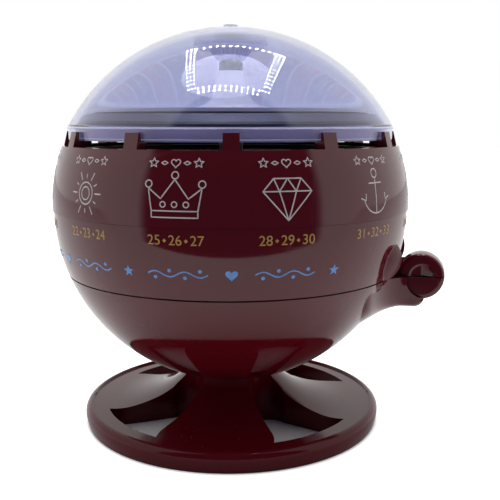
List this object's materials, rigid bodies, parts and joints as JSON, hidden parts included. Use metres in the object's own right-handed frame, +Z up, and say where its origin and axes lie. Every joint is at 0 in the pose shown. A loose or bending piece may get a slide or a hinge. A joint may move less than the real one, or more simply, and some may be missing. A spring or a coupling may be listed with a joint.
{
  "type": "roulette fortune dispenser",
  "caption": "Ball-shaped coin-operated fortune dispenser on a round stand, with a clear dome over a numbered wheel and a pull lever above its outlet.",
  "frame": {"origin": "centre of the round foot ring, on the table", "axes": "+Z up along the wheel's spindle, -Y towards the pull lever and the outlet, +X to the lever's right as seen from behind the machine"},
  "size_m": [0.12, 0.1326, 0.1347],
  "materials": {
    "maroon_plastic": "glossy, deep maroon",
    "lilac_clear": "clear, tinted lilac",
    "black_plastic": "satin black",
    "white_plastic": "glossy white",
    "grey_plastic": "satin light grey",
    "natural_plastic": "natural moulded gear plastic",
    "smoke_plastic": "glossy smoke",
    "steel": "bright drawn steel",
    "zinc_steel": "bright zinc plate",
    "brass": "turned brass",
    "felt": "dark felt"
  },
  "bodies": {
    "housing": {"base_stand": "maroon_plastic", "stand_legs": "maroon_plastic", "foot_ring": "maroon_plastic", "base_screw": "zinc_steel", "lower_bowl": "maroon_plastic", "mid_shell": "maroon_plastic", "upper_ring": "maroon_plastic", "dome": "lilac_clear", "dome_bush": "lilac_clear", "roulette_tray": "black_plastic", "coin_funnel": "black_plastic", "coin_chute": "black_plastic", "chassis_floor": "black_plastic", "chassis_plate": "black_plastic", "frame_pillars": "black_plastic", "chassis_screws": "zinc_steel", "frame_screws": "zinc_steel", "roll_hopper": "grey_plastic", "outlet_ramp": "black_plastic", "lower_bush": "brass", "gear_axle": "steel", "axle_clip": "zinc_steel", "spring_rod": "steel"},
    "lever_unit": {"lever": "maroon_plastic", "lever_grip": "maroon_plastic", "roll_carriage": "grey_plastic", "lever_rack": "natural_plastic", "rack_screws": "zinc_steel", "return_spring": "steel"},
    "compound": {"compound_gear": "natural_plastic"},
    "drive": {"spindle_pinion": "natural_plastic", "felt_washer": "felt"},
    "wheel": {"spindle": "steel", "drive_disc": "natural_plastic", "roulette_wheel": "white_plastic", "pocket_ring": "black_plastic", "wheel_hub": "white_plastic", "hub_cap": "smoke_plastic"}
  },
  "joints": [
    {"name": "lever_slide", "type": "slide", "parent": "housing", "child": "lever_unit", "axis": [0, -1, 0], "range_m": [0, 0.013], "stiffness_N_per_m": 100, "springref_m": -0.01, "deforming": ["return_spring"]},
    {"name": "compound_spin", "type": "hinge", "parent": "housing", "child": "compound", "pos_m": [-0.03, 0, 0.06], "axis": [0, 0, 1], "range_deg": [-125, 1]},
    {"name": "drive_spin", "type": "hinge", "parent": "housing", "child": "drive", "pos_m": [0, 0, 0.063], "axis": [0, 0, 1], "range_deg": [-2, 500]},
    {"name": "roulette_spin", "type": "hinge", "parent": "housing", "child": "wheel", "pos_m": [0, 0, 0.1], "axis": [0, 0, 1], "continuous": true}
  ],
  "couplings": [
    {"joint": "compound_spin", "follows": "lever_slide", "rad_per_m": -166.67},
    {"joint": "drive_spin", "follows": "lever_slide", "rad_per_m": 666.67}
  ]
}
